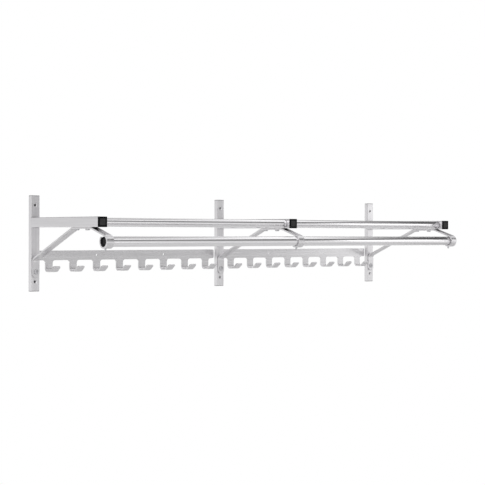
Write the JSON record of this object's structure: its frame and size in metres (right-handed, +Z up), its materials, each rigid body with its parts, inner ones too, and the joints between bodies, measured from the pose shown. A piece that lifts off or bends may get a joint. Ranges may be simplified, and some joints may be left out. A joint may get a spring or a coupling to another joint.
{
  "type": "wall hook rack",
  "caption": "Wall-mounted coat rack: uprights with bracket arms carry a tubular shelf and a hanger rail, with bent-sheet hook strips on the wall between them.",
  "frame": {"origin": "on the wall plane, at the centre of the four outer wall screw holes (middle upright's centre line, half way up)", "axes": "+X along the wall towards the rack's right-hand end, +Y into the wall, +Z up; the room is on the -Y side"},
  "size_m": [1.225, 0.3587, 0.245],
  "materials": {
    "aluminium_profile": "satin anodised",
    "aluminium_tube": "satin anodised, drawn along its length",
    "aluminium_flat_bar": "satin anodised",
    "aluminium_sheet": "bright anodised",
    "black_plastic": "moulded, semi-matt",
    "grey_plastic": "moulded, matt",
    "zinc_plated_steel": "zinc plated",
    "zinc_block": "as sawn"
  },
  "bodies": {
    "root": {"arm_block_left": "zinc_block", "arm_block_middle": "zinc_block", "arm_block_right": "zinc_block", "arm_cap_left": "black_plastic", "arm_cap_middle": "black_plastic", "arm_cap_right": "black_plastic", "arm_fixing_screws": "zinc_plated_steel", "arm_left": "aluminium_profile", "arm_middle": "aluminium_profile", "arm_right": "aluminium_profile", "brace_bolts": "zinc_plated_steel", "brace_left": "aluminium_flat_bar", "brace_middle": "aluminium_flat_bar", "brace_nuts": "zinc_plated_steel", "brace_right": "aluminium_flat_bar", "brace_screws": "zinc_plated_steel", "hanger_rail": "aluminium_tube", "hook_strip_left": "aluminium_sheet", "hook_strip_right": "aluminium_sheet", "nut_plate_left": "zinc_plated_steel", "nut_plate_middle": "zinc_plated_steel", "nut_plate_right": "zinc_plated_steel", "rail_plug_left": "black_plastic", "rail_plug_right": "black_plastic", "rail_set_screws": "zinc_plated_steel", "shelf_tube_front": "aluminium_tube", "shelf_tube_middle": "aluminium_tube", "shelf_tube_rear": "aluminium_tube", "upright_cap_bottom_left": "grey_plastic", "upright_cap_bottom_middle": "grey_plastic", "upright_cap_bottom_right": "grey_plastic", "upright_cap_top_left": "grey_plastic", "upright_cap_top_middle": "grey_plastic", "upright_cap_top_right": "grey_plastic", "upright_left": "aluminium_profile", "upright_middle": "aluminium_profile", "upright_right": "aluminium_profile"}
  },
  "joints": []
}
